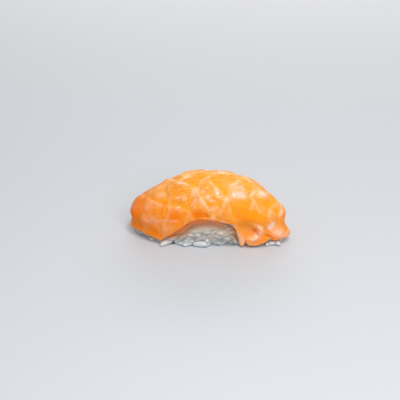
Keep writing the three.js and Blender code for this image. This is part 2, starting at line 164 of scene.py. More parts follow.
# Streaks and spots of colour. A streak runs along places [s, w] and has a width in mm and an
# amount, and a spot has a place, radii in s and w, and an amount. First the pale ones: pale
# flesh, and painted highlights on the lip, the tip, the hem and the broad facets.
PALE_AND_HIGHLIGHT_STREAKS = [
    ([(0.42, -0.2), (0.44, -0.24), (0.52, -0.26), (0.57, -0.3)], 0.9, 0.4),
    ([(0.55, 0.15), (0.59, 0.07), (0.66, -0.06), (0.7, -0.06)], 1.2, 0.8),
    ([(0.72, -0.55), (0.78, -0.465), *LIP_BEND], 1.1, 1.0),
    ([(0.8, -0.985), (0.9, -0.985), (0.99, -0.985)], 0.7, 0.9),
    ([(0.46, -0.98), (0.54, -0.93), (0.6, -0.97)], 0.8, 0.5),
    ([(-0.62, -0.62), (-0.52, -0.74), (-0.41, -0.88)], 0.7, 0.4),
    ([(0.19, -0.9), (0.3, -0.9), (0.42, -0.92)], 0.5, 0.7),
    ([(0.22, -0.96), (0.33, -0.97), (0.46, -0.97)], 0.45, 0.6),
    ([(0.68, -0.97), (0.72, -0.96), (0.77, -0.96)], 0.6, 0.6),
    ([(0.99, -0.2), (0.97, -0.05), (0.96, 0.12)], 0.7, 0.6),
]
PALE_AND_HIGHLIGHT_SPOTS = [
    (0.17, -0.1, 0.05, 0.08, 0.3), (0.25, -0.2, 0.08, 0.09, 0.3), (0.9, -0.17, 0.06, 0.1, 0.8),
    (0.78, -0.24, 0.05, 0.05, 1), (0.24, -0.46, 0.04, 0.07, 0.6), (0.96, -0.96, 0.05, 0.04, 0.6),
    (-0.67, -0.88, 0.13, 0.12, 0.2), (-0.52, -0.33, 0.05, 0.08, 0.4), (-0.36, -0.26, 0.04, 0.07, 0.3),
    (-0.62, -0.19, 0.06, 0.06, 0.2), (-0.94, -0.19, 0.05, 0.06, 0.5), (0.19, -0.73, 0.05, 0.06, 0.9),
    (-0.66, -0.8, 0.09, 0.08, 0.12), (0.37, 0.02, 0.05, 0.08, 0.5), (0.9, -0.92, 0.08, 0.07, 0.4),
    (0.98, -0.72, 0.03, 0.18, 0.35), (0.82, -0.72, 0.06, 0.12, 0.15),
]
# Golden ones, which are painted shade.
GOLD_SHADE_STREAKS = [
    ([(0.04, -0.6), (0.1, -0.62), (0.16, -0.62), (0.24, -0.55)], 1.0, 0.8),
    ([(0.48, -0.6), (0.55, -0.6), (0.64, -0.52)], 1.5, 0.5),
]
GOLD_SHADE_SPOTS = [(0.16, -0.35, 0.02, 0.03, 0.9), (0.48, -0.42, 0.17, 0.2, 0.9), (0.62, -0.45, 0.1, 0.12, 0.7)]
# Deep orange ones: a deeper orange of the flesh, most of it painted shade in hollows, along the hem and
# low down.
DEEP_SHADE_STREAKS = [
    ([(-0.46, -0.08), (-0.5, -0.16), (-0.6, -0.28), (-0.75, -0.36), (-0.9, -0.39)], 1.0, 0.9),
    ([(-0.36, -0.4), (-0.43, -0.51), (-0.52, -0.61)], 1.0, 0.6),
    ([(-0.16, 0.1), (-0.13, 0.05), (-0.1, -0.01)], 0.6, 0.4),
    ([(0.0, -0.86), (0.09, -0.9), (0.17, -0.94)], 0.8, 0.9),
    ([(-0.36, -1), (-0.2, -1), (0, -1), (0.22, -1)], 1.9, 0.85),
    ([(-0.95, -1), (-0.75, -1), (-0.5, -1), (-0.25, -1)], 1.8, 0.5),
    ([(0.6, -0.6), (0.67, -0.53), (0.71, -0.44)], 0.8, 0.6),
]
DEEP_SHADE_SPOTS = [
    (-0.42, -0.77, 0.09, 0.14, 0.9), (-0.03, -0.87, 0.15, 0.1, 1), (0.47, -0.42, 0.2, 0.24, 0.3),
    (0.7, 0, 0.12, 0.3, 0.15), (0.64, -0.62, 0.1, 0.14, 0.4), (0.855, -0.56, 0.035, 0.045, 1.3),
    (-0.66, -0.15, 0.13, 0.2, 0.6), (-0.75, -0.62, 0.14, 0.1, 0.3), (0.44, -0.9, 0.1, 0.08, 0.4),
    (0.96, -0.25, 0.03, 0.1, 0.8), (0.94, -0.38, 0.02, 0.03, 1), (-0.86, -0.8, 0.1, 0.18, 0.6),
    (0.96, -0.66, 0.03, 0.2, 0.15), (-0.8, 0.1, 0.3, 0.5, 0.9),
]
# Painted glints: pale pink highlights laid into the colour, where the coat is also wetter.
GLINT_STREAKS = [
    ([(0.08, -0.28), (0.09, -0.36), (0.12, -0.42)], 0.9, 0.9),
    ([(0.11, -0.46), (0.15, -0.45), (0.19, -0.43)], 0.5, 0.8),
    ([(0.22, -0.3), (0.27, -0.28), (0.33, -0.2)], 1.5, 1.0),
    ([(0.15, -0.12), (0.22, -0.14), (0.28, -0.1)], 1.6, 0.45),
    ([(0.37, -0.19), (0.34, -0.11), (0.32, -0.02)], 0.8, 1.0),
    ([(0.84, -0.32), (0.79, -0.25), (0.73, -0.18)], 1.3, 1.0),
    ([(-0.23, -0.16), (-0.19, -0.2), (-0.15, -0.24)], 0.7, 0.7),
    ([(-0.7, -0.46), (-0.63, -0.56), (-0.6, -0.66)], 2.2, 0.28),
    ([(-0.03, -0.56), (0, -0.63), (0.06, -0.69)], 0.7, 0.7),
    ([(-0.08, -0.3), (-0.1, -0.42), (-0.12, -0.52)], 1.0, 0.6),
]
GLINT_SPOTS = [
    (0.04, -0.52, 0.03, 0.04, 1), (-0.02, -0.42, 0.02, 0.03, 0.7), (0.1, -0.58, 0.04, 0.03, 0.7),
    (-0.26, -0.46, 0.02, 0.03, 0.6), (-0.2, -0.5, 0.02, 0.06, 0.6), (-0.3, -0.63, 0.022, 0.014, 1),
    (-0.66, -0.09, 0.03, 0.04, 0.35), (0.22, -0.46, 0.03, 0.05, 0.4), (0.38, 0.01, 0.04, 0.07, 0.8),
    (0.93, -0.17, 0.05, 0.07, 0.5), (-0.38, -0.25, 0.03, 0.05, 0.35),
]
SMOOTH_SPOTS = [(0.8, -0.72, 0.14, 0.26, 1.2)]  # where hardly any fibres show
STREAK_FADE = (-0.05, 0.2)  # the share of a streak over which its ends fade
COLOUR_WANDER = {"size": 5, "seeds": (61, 62, 63), "amount": 0.35}

# Painted shade on the left end, where less light falls, a deeper orange: the stretch of s over
# which that fades out, how much deeper the flesh and its grooves are there, and how much gold
# the grooves lose.
LEFT_END = (-0.6, -0.15)
LEFT_END_SHADE = 0.2
LEFT_GROOVE_SHADE = 0.75
LEFT_GOLD_LOSS = 0.5
# Painted shade: the underside and the lower wall are a deep orange.
UNDERSIDE_SHADE = 0.6
UNDERSIDE_LAYERS = (-0.2, 0.9)  # where in the wall's layers, -1 to 1, that fades out
LOW_FLESH_SHADE = (3, 24)  # the heights over which the flesh deepens downwards, a painted shade
HEM_BAND = 2.2  # how far in from the edge its paler rim reaches

SLAB_CELLS = (284, 154)
SLAB_LAYERS = 5
SLAB_HALVES = (47.5, 26, 2)  # half the flat slab's size, for the patterns that lie on it
ON_EDGE = 0.9999
HEM_ROUND = 1.5  # how far in from the edge the faces round over
HEM_BLUNT = 0.4  # the share of the thickness left at the very edge
HEM_BULGE = 0.16  # how far the edge swells out, as a share of the thickness


def mix(a, b, share):
    return a + (b - a) * share


def smoothstep(low, high, value):
    share = np.clip((value - low) / (high - low), 0, 1)
    return share * share * (3 - 2 * share)


def fading(distance, reach):
    """1 at no distance, falling away softly with this reach."""
    return np.exp(-((distance / reach) ** 2))


def end_fade(share, low, high):
    """Fades both ends of a path out, by the share of it that lies behind each point."""
    return smoothstep(low, high, share) * smoothstep(low, high, 1 - share)


def soft_spot(s, w, spot_s, spot_w, reach_s, reach_w):
    """1 at a place on the slab, falling away softly with its radii in s and w."""
    return np.exp(-(((s - spot_s) / reach_s) ** 2) - ((w - spot_w) / reach_w) ** 2)


def soft_bands(distance, bands):
    return sum(share * fading(distance, width) for share, width in bands)


def smooth_curve(points):
    """The even Catmull-Rom curve through the points, as a function of 0 to 1."""
    knots = np.array(points, float)
    knots = np.vstack([2 * knots[0] - knots[1], knots, 2 * knots[-1] - knots[-2]])
    spans = len(points) - 1

    def place(share):
        spot = np.clip(share, 0, 1) * spans
        i = np.minimum(spot.astype(int), spans - 1)
        f = (spot - i)[:, None]
        a, b, c, d = (knots[i + k] for k in range(4))
        return b + 0.5 * f * (c - a + f * (2 * a - 5 * b + 4 * c - d + f * (3 * (b - c) + d - a)))

    return place


front_hem, back_hem = smooth_curve(FRONT_HEM), smooth_curve(BACK_HEM)
left_hem, right_hem = smooth_curve(LEFT_HEM), smooth_curve(RIGHT_HEM)
ridge = smooth_curve(RIDGE)


def hem_patch(u, v):
    """The patch that the four hems span."""
    near, far = 1 - v[:, None], v[:, None]
    left, right = 1 - u[:, None], u[:, None]
    corners = (
        left * near * np.array(FRONT_HEM[0]) + right * near * np.array(FRONT_HEM[-1])
        + left * far * np.array(BACK_HEM[0]) + right * far * np.array(BACK_HEM[-1])
    )
    return front_hem(u) * near + back_hem(u) * far + left_hem(v) * left + right_hem(v) * right - corners


def drape(s, w):
    """The slice's smooth outer surface: the hem patch, lifted to the ridge by an arch."""
    turn = w * math.pi / 2
    sine, cosine = np.sin(turn), np.maximum(np.cos(turn), 0)
    reach = (np.abs(sine) ** ARCH_POWER + cosine**ARCH_POWER) ** (-1 / ARCH_POWER)
    u = (1 + s) / 2
    side = mix(sine * reach, w, END_SPREAD * smoothstep(*END_STRETCH, np.abs(s)))
    place = hem_patch(u, (1 + side) / 2)
    lift = ridge(u) - hem_patch(u, np.full_like(u, 0.5))
    lift[:, 1] = 0
    return place + lift * (cosine * reach)[:, None]


def unit(vectors):
    return vectors / np.maximum(np.linalg.norm(vectors, axis=-1, keepdims=True), 1e-9)


def drape_frame(s, w):
    """Unit vectors along s, along w and outwards, and the millimetres that one s and one w span."""
    s_low, s_high = np.maximum(s - FRAME_STEP, -1), np.minimum(s + FRAME_STEP, 1)
    w_low, w_high = np.maximum(w - FRAME_STEP, -1), np.minimum(w + FRAME_STEP, 1)
    along = (drape(s_high, w) - drape(s_low, w)) / (s_high - s_low)[:, None]
    across = (drape(s, w_high) - drape(s, w_low)) / (w_high - w_low)[:, None]
    out = unit(np.cross(along, across))
    spans = np.linalg.norm(along, axis=1), np.linalg.norm(across, axis=1)
    return unit(along), unit(across), out, spans


def thickness(s, w):
    return mix(SLICE_THICK, HEM_THICK, np.maximum(np.abs(s) ** END_THINNING, w**HEM_THINNING))


def waves(points, size, seed, count=10):
    """Smooth random waves over points in mm, from about -1 to 1, with this rough size."""
    draw = np.random.default_rng(seed)
    total = np.zeros(len(points))
    for _ in range(count):
        direction = unit(draw.normal(size=3))
        rate = 2 * math.pi / (size * draw.uniform(*WAVE_SIZES))
        total += np.sin(points @ direction * rate + draw.uniform(0, 2 * math.pi))
    return total / math.sqrt(count / 2) / WAVE_CREST


def wandering(points, size, seeds, amount):
    """The points moved about by waves, one seed for each direction."""
    return points + np.stack([waves(points, size, seed) for seed in seeds], -1) * amount


def draped_line(path):
    """The smooth line through places [s, w], laid on the drape."""
    places = smooth_curve(path)(np.linspace(0, 1, CUT_STEPS + 1))
    return drape(np.clip(places[:, 0], -1, 1), np.clip(places[:, 1], -1, 1))


def beside_line(points, out, line):
    """Distance to a line, which side of it, and how far along it, for every point."""
    start, run = line[:-1], np.diff(line, axis=0)
    away = points[:, None] - start
    share = np.clip((away * run).sum(-1) / (run**2).sum(-1), 0, 1)
    gap = away - share[..., None] * run
    distance = np.linalg.norm(gap, axis=-1)
    rows, nearest = np.arange(len(points)), distance.argmin(1)
    side = np.sign((np.cross(run[nearest], out) * gap[rows, nearest]).sum(-1))
    return distance[rows, nearest], side, (nearest + share[rows, nearest]) / len(run)


def streak(points, path):
    """The distance to a path of places [s, w] on the drape, and how far along it, for every point."""
    upward = np.broadcast_to((0.0, 0.0, 1.0), points.shape)
    distance, _, share = beside_line(points, upward, draped_line(path))
    return distance, share


def cut_height(offset):
    """The height across a cut at signed distances from it, on the smoothed profile."""
    knots = smooth_curve(CUT_PROFILE)(np.linspace(0, 1, PROFILE_STEPS))
    return np.interp(offset, knots[:, 0], knots[:, 1])


def slice_relief(s, w, points, out):
    """How far the flesh stands out of the drape, and masks of its cuts, pale edges with painted highlights
    and golden painted shade.
    """
    moved = wandering(points, **CUT_WANDER)
    sunk, raised, pale_and_highlight, gold_shade = np.zeros((4, len(s)))
    for cut, strength in zip(RISING_CUTS + FALLING_CUTS, RISING_STRENGTHS + FALLING_STRENGTHS):
        line = draped_line([knot[:2] for knot in cut])
        distance, side, share = beside_line(moved, out, line)
        fade = np.full(len(s), strength)
        for end, way in ((cut[0], share), (cut[-1], 1 - share)):
            if max(abs(end[0]), abs(end[1])) < SLAB_EDGE:
                fade *= smoothstep(0, CUT_FADE, way)
        offset = side * distance
        height = cut_height(offset) * fade
        sunk += np.maximum(-height, 0) ** 3
        raised += np.maximum(height, 0)
        # The proud edge gets a pale band, partly painted highlight, and the sinking side golden painted
        # shade.
        above, below = np.maximum(CUT_EDGE - offset, 0), np.maximum(offset - CUT_EDGE, 0)
        proud = soft_bands(below, PALE_BANDS) * smoothstep(*PALE_ONSET, offset - CUT_EDGE)
        dipped = soft_bands(above, GOLD_SHADE_BANDS) * smoothstep(*GOLD_SHADE_ONSET, CUT_EDGE - offset)
        ends = np.minimum(fade / strength, 1)
        knots = np.linspace(0, 1, len(cut))
        pale_and_highlight = np.maximum(pale_and_highlight, proud * ends * np.interp(share, knots, [knot[2] for knot in cut]))
        gold_shade = np.maximum(gold_shade, dipped * ends * np.interp(share, knots, [knot[3] for knot in cut]))
    # The cube root of the cubes, so that cuts aren't twice as deep where they cross.
    sunk = np.cbrt(sunk)
    groove = np.clip(sunk / CUT_DEEPEST, 0, 1)
    clouds = waves(points, PALE_CLOUDS["size"], PALE_CLOUDS["seed"])
    patchy = np.clip(PALE_CLOUDS["middle"] + PALE_CLOUDS["swing"] * clouds, 0, 1)
    pale_and_highlight *= (1 - groove * PALE_LOSS["groove"]) * patchy
    height = (raised * (1 - groove) - sunk) * (thickness(s, w) / SLICE_THICK)
    for size, seed, rise in RIPPLES:
        height += rise * waves(points, size, seed)
    for *spot, depth in DENTS:
        height -= depth * soft_spot(s, w, *spot)
    return height, groove, pale_and_highlight, gold_shade


def fold_heights(points):
    height = np.zeros(len(points))
    for path, rise, width in FOLDS:
        distance, share = streak(points, path)
        height += rise * end_fade(share, *FOLD_FADE) * fading(distance, width)
    return height


def blush(s, w, points, streaks, spots):
    """A mask of soft streaks and spots, at most 1."""
    total = np.zeros(len(s))
    for *spot, amount in spots:
        total += amount * soft_spot(s, w, *spot)
    for path, width, amount in streaks:
        distance, share = streak(points, path)
        total = np.maximum(total, amount * end_fade(share, *STREAK_FADE) * fading(distance, width))
    return np.clip(total, 0, 1)


# ------------------------------------------------------------- Blender helpers


def deselect():
    if bpy.context.object and bpy.context.object.mode != "OBJECT":
        bpy.ops.object.mode_set(mode="OBJECT")
    bpy.ops.object.select_all(action="DESELECT")


def vertex_places(piece):
    places = np.empty(len(piece.data.vertices) * 3)
    piece.data.vertices.foreach_get("co", places)
    return places.reshape(-1, 3)


def set_places(piece, places):
    piece.data.vertices.foreach_set("co", np.ascontiguousarray(places, dtype=np.float32).ravel())
    piece.data.update()


def set_mask(piece, name, values):
    mask = piece.data.attributes.new(name, "FLOAT", "POINT")
    mask.data.foreach_set("value", np.ascontiguousarray(values, dtype=np.float32))


# ------------------------------------------------------------- the slice


def flat_slab(cells, layers):
    """A flat closed slab from -1 to 1 each way, of this many cells and wall layers."""
    deselect()
    bpy.ops.mesh.primitive_grid_add(
        x_subdivisions=cells[0], y_subdivisions=cells[1], size=2, location=(0, 0, -1)
    )
    slab = bpy.context.object
    bpy.ops.object.transform_apply(location=True)
    bpy.ops.object.mode_set(mode="EDIT")
    bpy.ops.mesh.select_all(action="SELECT")
    for _ in range(layers):
        bpy.ops.mesh.extrude_region_move(TRANSFORM_OT_translate={"value": (0, 0, 2 / layers)})
    bpy.ops.object.mode_set(mode="OBJECT")
    return slab


def slice_masks(s, w, layer, points, heights, edge, cut_masks):
    """The masks that the flesh's material reads, by name."""
    groove, edge_pale_and_highlight, cut_gold_shade = cut_masks
    moved = wandering(points, **COLOUR_WANDER)
    upper = np.clip(layer, 0, 1)
    pale_and_highlight = blush(s, w, moved, PALE_AND_HIGHLIGHT_STREAKS, PALE_AND_HIGHLIGHT_SPOTS)
    gold_shade = blush(s, w, moved, GOLD_SHADE_STREAKS, GOLD_SHADE_SPOTS)
    deep = blush(s, w, moved, DEEP_SHADE_STREAKS, DEEP_SHADE_SPOTS)
    # Painted shade: the left end and its grooves turn a deeper orange, where less light falls.
    leftward = 1 - smoothstep(*LEFT_END, s)
    deep_grooves = LEFT_GROOVE_SHADE * cut_gold_shade * upper * leftward
    deep = np.maximum(deep + LEFT_END_SHADE * leftward * (1 - deep), deep_grooves)
    # Painted shade: the underside and the lower wall are a deep orange.
    underside_shade = UNDERSIDE_SHADE * (1 - smoothstep(*UNDERSIDE_LAYERS, layer))
    # The low mask is painted shade: the flesh deepens towards the bottom.
    return {
        "low": 1 - smoothstep(*LOW_FLESH_SHADE, heights),
        "cut": groove * upper,
        "gold_shade": np.maximum(gold_shade, cut_gold_shade * upper * (1 - LEFT_GOLD_LOSS * leftward)),
        "deep": np.maximum(deep, underside_shade),
        "pale_and_highlight": np.maximum(pale_and_highlight, edge_pale_and_highlight * upper * (1 - PALE_LOSS["deep"] * deep)),
        "hem": fading(edge, HEM_BAND),
        "painted_glint_and_wet": blush(s, w, moved, GLINT_STREAKS, GLINT_SPOTS),
        "smooth": blush(s, w, moved, [], SMOOTH_SPOTS),
    }


def make_slice():
    slab = flat_slab(SLAB_CELLS, SLAB_LAYERS)
    slab.name = "salmon_slice"
    s, w, layer = vertex_places(slab).T
    s, w = np.clip(s, -1, 1), np.clip(w, -1, 1)
    points = drape(s, w)
    along, across, out, (s_span, w_span) = drape_frame(s, w)
    height, groove, edge_pale_and_highlight, cut_gold_shade = slice_relief(s, w, points, out)
    height += fold_heights(points)
    thick = thickness(s, w)
    edge = np.minimum((1 - np.abs(s)) * s_span, (1 - np.abs(w)) * w_span)
    rounding = np.sqrt(1 - (1 - np.clip(edge / HEM_ROUND, 0, 1)) ** 2)
    fullness = mix(HEM_BLUNT, 1, rounding)
    top = mix(-thick / 2, height, fullness)
    bottom = mix(-thick / 2, -thick, fullness)
    rise = (1 + layer) / 2
    lift = mix(bottom, top, rise)
    places = points + out * lift[:, None]
    bulge = HEM_BULGE * thick * (1 - layer**2)
    on_end, on_side = np.abs(s) > ON_EDGE, np.abs(w) > ON_EDGE
    outward = along * (np.sign(s) * on_end)[:, None] + across * (np.sign(w) * on_side)[:, None]
    places += unit(outward) * (bulge * (on_end | on_side))[:, None]
    for *spot, move in PULLS:
        places += soft_spot(s, w, *spot)[:, None] * np.array(move)
    places[:, 2] = np.maximum(places[:, 2], SLICE_LOWEST)
    set_places(slab, places * MM)
    masks = slice_masks(s, w, layer, points, places[:, 2], edge, (groove, edge_pale_and_highlight, cut_gold_shade))
    for name, values in masks.items():
        set_mask(slab, name, values)
    flat_places = np.stack([s, w, layer], -1) * SLAB_HALVES * MM
    flat = slab.data.attributes.new("flat", "FLOAT_VECTOR", "POINT")
    flat.data.foreach_set("vector", flat_places.astype(np.float32).ravel())
    bpy.ops.object.shade_smooth()
    return slab


# ------------------------------------------------------------- the rice

RICE_GAP = 0.22
BASE_SHRINK = (0.82, 0.78)
UNDERCUT = {"s": 0.5, "reach": 0.45, "depth": 3}
BASE_TRIM = 0.8
WALL_BELLY = 0.13
WALL_CURL = 2.6
END_TURN = 0.4  # how far the directions out of the wall turn towards the ends
CORE_CELLS = (96, 44)
CORE_LAYERS = 12
CORE_INSET = 0.12  # the core draws back this far behind the grains
FOOT_INSET = 2.2  # and this much more at its foot, fading with this height
FOOT_HEIGHT = 2.4
CORE_LUMPS = {"size": 3.4, "seed": 21, "height": 0.15}
CORE_SHADE = {"size": 3, "seed": 22, "middle": 0.45, "swing": 0.25}
CORE_INWARD = (0.5, -1.5)  # the way in: the share of x beside that of y, and down
HEM_STEPS = 200
WALK_STEP = 0.01  # the share of the walk round the rice that gives its direction
WALL_STEP = 0.05  # the share of the wall's height that gives the way up

GRAIN_RINGS = (10, 9)
GRAIN_FLAT = 0.86
GRAIN_BEND = 0.45
GRAIN_PLUMP = 0.3
GERM_NOTCH = {"place": 0.78, "reach": 0.16, "depth": 0.16}  # on one side, near one end
# What is drawn for each grain, from a low to a high value: its size, how it tapers, the
# shares of its bend and of its flatness, and where and how it lies in the wall.
GRAIN_LENGTH = (5.0, 6.9)
GRAIN_WIDTH = (2.2, 2.8)
GRAIN_TAPER = (-0.1, 0.1)
GRAIN_BENDING = (0.3, 1.4)
GRAIN_FLATNESS = (0.88, 1.05)
GRAIN_SHIFT = (-0.3, 0.3)  # along its row, in shares of the spacing
GRAIN_RISE = (-0.6, 0.6)
GRAIN_TILT = (-0.6, 0.6)  # in the wall's surface, in radians
GRAIN_LEAN = (-0.15, 0.15)
GRAIN_DEPTH = (0.2, 0.8)
GRAIN_LEVELS = [1.2, 2.4, 3.8, 5.2, 6.6, 8, 9.4, 10.8, 12.2]
GRAIN_SPACING = 3
GRAIN_SINK = 1  # how much deeper the grains lie 10 mm up the wall
GRAIN_SINK_POWER = 1.5  # and how late that comes on the way up
GRAIN_OVER = 0.8  # how far above the wall's top a grain may start
GRAIN_CLEAR = 0.12  # between a grain and the slice
# A wall grain that isn't clear of the slice is tried again lower, deeper and shorter, and a
# foot grain further out.
WALL_TRIES = 6
TRY_LOWER = 0.5
TRY_DEEPER = 0.15
TRY_SHORTER = 0.95
FOOT_TRIES = 16
TRY_FURTHER = 0.2
FOOT_ROWS = 2  # the rows that the foot grains stand in for, where w and s are below these
FOOT_FRONT = {"w": -0.9, "s": 0.85}
FOOT_BACK = (0, -0.3, 1)  # the way that a foot grain's back faces
RICE_SEED = 41
NEAR_REACH = 3.9  # how far the slice's painted shadow and glow reach on the rice, and how sharply that ends
NEAR_POWER = 2.2
# Beside the lobe the painted shadow and glow on the rice are lighter.
LOBE_START = (5, 10)  # in x, where the rice beside the lobe begins and ends
LOBE_END = (14, 18)
LOBE_LIGHTER = 0.35
# Grains placed one by one along the foot, each [x, y, z of its lowest point, slant in the
# surface and lift of one end in degrees, length, width, shade].
# A grain's shade sets how light its colour is; the low shades under the slice's ends and beside the lobe
# are painted shade.
FOOT_GRAINS = [
    (-17.4, -12.7, 0, 38, 10, 7, 3, 0.4),
    (-12.2, -12, 0, -27, 6, 5.4, 2.6, 0.6),
    (-8, -12.6, 0, 30, 6, 5.6, 3, 0.6),
    (-3, -13, 0, -8, 4, 6.4, 3.2, 0.85),
    (0.6, -11.2, 0, 62, 6, 5.2, 2.7, 0.7),
    (3.4, -10.3, 0, -22, 8, 5.6, 2.8, 0.5),
    (6.4, -9.6, 0, 42, 6, 5.4, 2.8, 0.5),
    (9, -8.4, 0, -38, 8, 5.2, 2.6, 0.3),
    (11.8, -8.6, 0, -12, 8, 5.2, 2.5, 0.2),
    (-14.6, -11.2, 1.4, 8, 8, 5.8, 2.6, 0.8),
    (-10.2, -11.8, 1.5, -36, -6, 5.8, 2.7, 0.5),
    (-6, -11.9, 1.4, 18, 8, 6, 2.7, 0.9),
    (-1.4, -11.6, 1.6, -42, 8, 5.8, 2.7, 0.7),
    (2.2, -11, 1.6, 26, -8, 5.8, 2.7, 0.6),
    (5.8, -10.4, 1.7, -20, 8, 5.8, 2.6, 0.4),
    (9.2, -10, 1.7, 34, 8, 5.6, 2.6, 0.4),
    (4.4, -12.6, 6.2, -12, 4, 5.8, 2.5, 0.4),
    (11.8, -9.8, 1.8, -30, 8, 5.4, 2.4, 0.2),
    (25.8, -7.6, 0, -58, 6, 4.4, 2.2, 0.4),
    (27.4, -8.8, 0, 20, 6, 4.8, 2.3, 0.6),
    (29.8, -7.8, 0, -38, 8, 4.6, 2.3, 0.7),
    (31.6, -5, 0, 50, 6, 4.6, 2.3, 0.4),
    (-31.4, -2.2, 0, -62, 8, 5.2, 2.4, 0.2),
    (-29, -5.2, 0, -20, 8, 5.2, 2.5, 0.3),
    (-26.4, -7.6, 0, -52, 8, 5.2, 2.4, 0.2),
    (-23.4, -9.6, 0, -10, 8, 5.4, 2.5, 0.3),
    (-20.8, -11, 0, -44, 8, 5, 2.4, 0.3),
]


def core_top(s, w):
    out = drape_frame(s, w)[2]
    return drape(s, w) - out * (thickness(s, w) + RICE_GAP)[:, None]


def core_base(s, w):
    place = hem_patch((1 + s) / 2, (1 + w) / 2)
    undercut = UNDERCUT["depth"] * fading(s - UNDERCUT["s"], UNDERCUT["reach"])
    place[:, 0] *= BASE_SHRINK[0]
    place[:, 1] = place[:, 1] * BASE_SHRINK[1] + undercut * (1 - w) / 2
    place[:, 2] = -BASE_TRIM
    return place


def core_wall(s, w, rise):
    """The rice's side at a place on the slab's edge, from its base, 0, to the slice, 1."""
    top, base = core_top(s, w), core_base(s, w)
    place = mix(top, base, ((1 - rise) ** WALL_CURL)[:, None])
    outward = unit(np.stack([base[:, 0] * END_TURN, base[:, 1], np.zeros(len(s))], -1))
    place += outward * (WALL_BELLY * top[:, 2] * np.sin(math.pi * rise))[:, None]
    place[:, 2] = mix(-BASE_TRIM, top[:, 2], rise)
    return place


def make_core():
    core = flat_slab(CORE_CELLS, CORE_LAYERS)
    core.name = "rice_core"
    s, w, layer = vertex_places(core).T
    s, w = np.clip(s, -1, 1), np.clip(w, -1, 1)
    rise = np.clip((1 + layer) / 2, 0, 1)
    on_wall = np.maximum(np.abs(s), np.abs(w)) > ON_EDGE
    places = np.where((rise > 0.5)[:, None], core_top(s, w), core_base(s, w))
    places[on_wall] = core_wall(s[on_wall], w[on_wall], rise[on_wall])
    turn_in, down = CORE_INWARD
    inward = unit(np.stack([-places[:, 0] * turn_in, -places[:, 1], np.full(len(s), down)], -1))
    depth = CORE_INSET + CORE_LUMPS["height"] * waves(places, CORE_LUMPS["size"], CORE_LUMPS["seed"])
    depth += FOOT_INSET * fading(places[:, 2], FOOT_HEIGHT)
    places += inward * (depth * (rise > 0))[:, None]
    places[:, 2] = np.maximum(places[:, 2], 0)
    set_places(core, places * MM)
    clouds = waves(places, CORE_SHADE["size"], CORE_SHADE["seed"])
    set_mask(core, "shade", np.clip(CORE_SHADE["middle"] + CORE_SHADE["swing"] * clouds, 0, 1))
    bpy.ops.object.shade_smooth()
    return core


def hem_walk():
    """Walks round the slab's edge: s and w for turns of 0 to 1 at an even pace, and its length."""
    share = np.linspace(0, 1, HEM_STEPS)[:-1]
    ones = np.ones_like(share)
    s = np.concatenate([2 * share - 1, ones, 1 - 2 * share, -ones, [-1]])
    w = np.concatenate([-ones, 2 * share - 1, ones, 1 - 2 * share, [-1]])
    steps = np.linalg.norm(np.diff(hem_patch((1 + s) / 2, (1 + w) / 2), axis=0), axis=1)
    travelled = np.concatenate([[0], np.cumsum(steps)])

    def place(turn):
        spot = (turn % 1) * travelled[-1]
        return np.interp(spot, travelled, s), np.interp(spot, travelled, w)

    return place, travelled[-1]


def grain_form():
    """One smooth plump grain, 1 long each way from its middle, as places and faces."""
    deselect()
    bpy.ops.mesh.primitive_uv_sphere_add(segments=GRAIN_RINGS[0], ring_count=GRAIN_RINGS[1], radius=1)
    ball = bpy.context.object
    bpy.ops.object.mode_set(mode="EDIT")
    bpy.ops.mesh.select_all(action="SELECT")
    bpy.ops.transform.rotate(value=math.pi / 2, orient_axis="Y", center_override=(0, 0, 0))
    bpy.ops.object.mode_set(mode="OBJECT")
    places = vertex_places(ball)
    faces = [tuple(face.vertices) for face in ball.data.polygons]
    bpy.data.objects.remove(ball)
    around = np.maximum(np.linalg.norm(places[:, 1:], axis=1, keepdims=True), 1e-6)
    places[:, 1:] *= around**-GRAIN_PLUMP * (around > 1e-5)
    return places, faces


def shaped_grain(form, centre, along, out, length, width, draw):
    """The grain's places in mm at its centre, along one direction and with its back outwards."""
    along = unit(np.array(along, float))
    side = unit(np.cross(out, along))
    out = np.cross(along, side)
    x, y, z = form.T
    taper = 1 + draw.uniform(*GRAIN_TAPER) * x
    notch = 1 - GERM_NOTCH["depth"] * fading(x - GERM_NOTCH["place"], GERM_NOTCH["reach"]) * (y > 0)
    bend = GRAIN_BEND * draw.uniform(*GRAIN_BENDING) * (1 - x**2)
    local = (
        along * (x * length / 2)[:, None]
        + side * (y * taper * notch * width / 2 + bend)[:, None]
        + out * (z * taper * width * GRAIN_FLAT * draw.uniform(*GRAIN_FLATNESS) / 2)[:, None]
    )
    return centre + local


def slice_tree(salmon_slice):
    return BVHTree.FromObject(salmon_slice, bpy.context.evaluated_depsgraph_get())


def clear_of_slice(tree, places):
    """Whether a grain stays outside the slice, with a little room."""
    for place in places:
        nearest, normal, _, distance = tree.find_nearest(Vector(place * MM))
        toward = Vector(place * MM) - nearest
        if toward.dot(normal) < 0 or distance < GRAIN_CLEAR * MM:
            return False
    return True


def add_foot_grains(grains, shades, form, tree, draw):
    for x, y, z, slant, lift, length, width, shade in FOOT_GRAINS:
        turn, pitch = math.radians(slant), math.radians(lift)
        along = (math.cos(turn) * math.cos(pitch), math.sin(turn) * math.cos(pitch), math.sin(pitch))
        outward = unit(np.array([x * END_TURN, y, 0]))
        for step in range(FOOT_TRIES):
            centre = np.array([x, y, 0]) + outward * TRY_FURTHER * step
            places = shaped_grain(form, centre, along, FOOT_BACK, length, width, draw)
            places[:, 2] += z - places[:, 2].min()
            if clear_of_slice(tree, places):
                grains.append(places)
                shades.append(shade)
                break


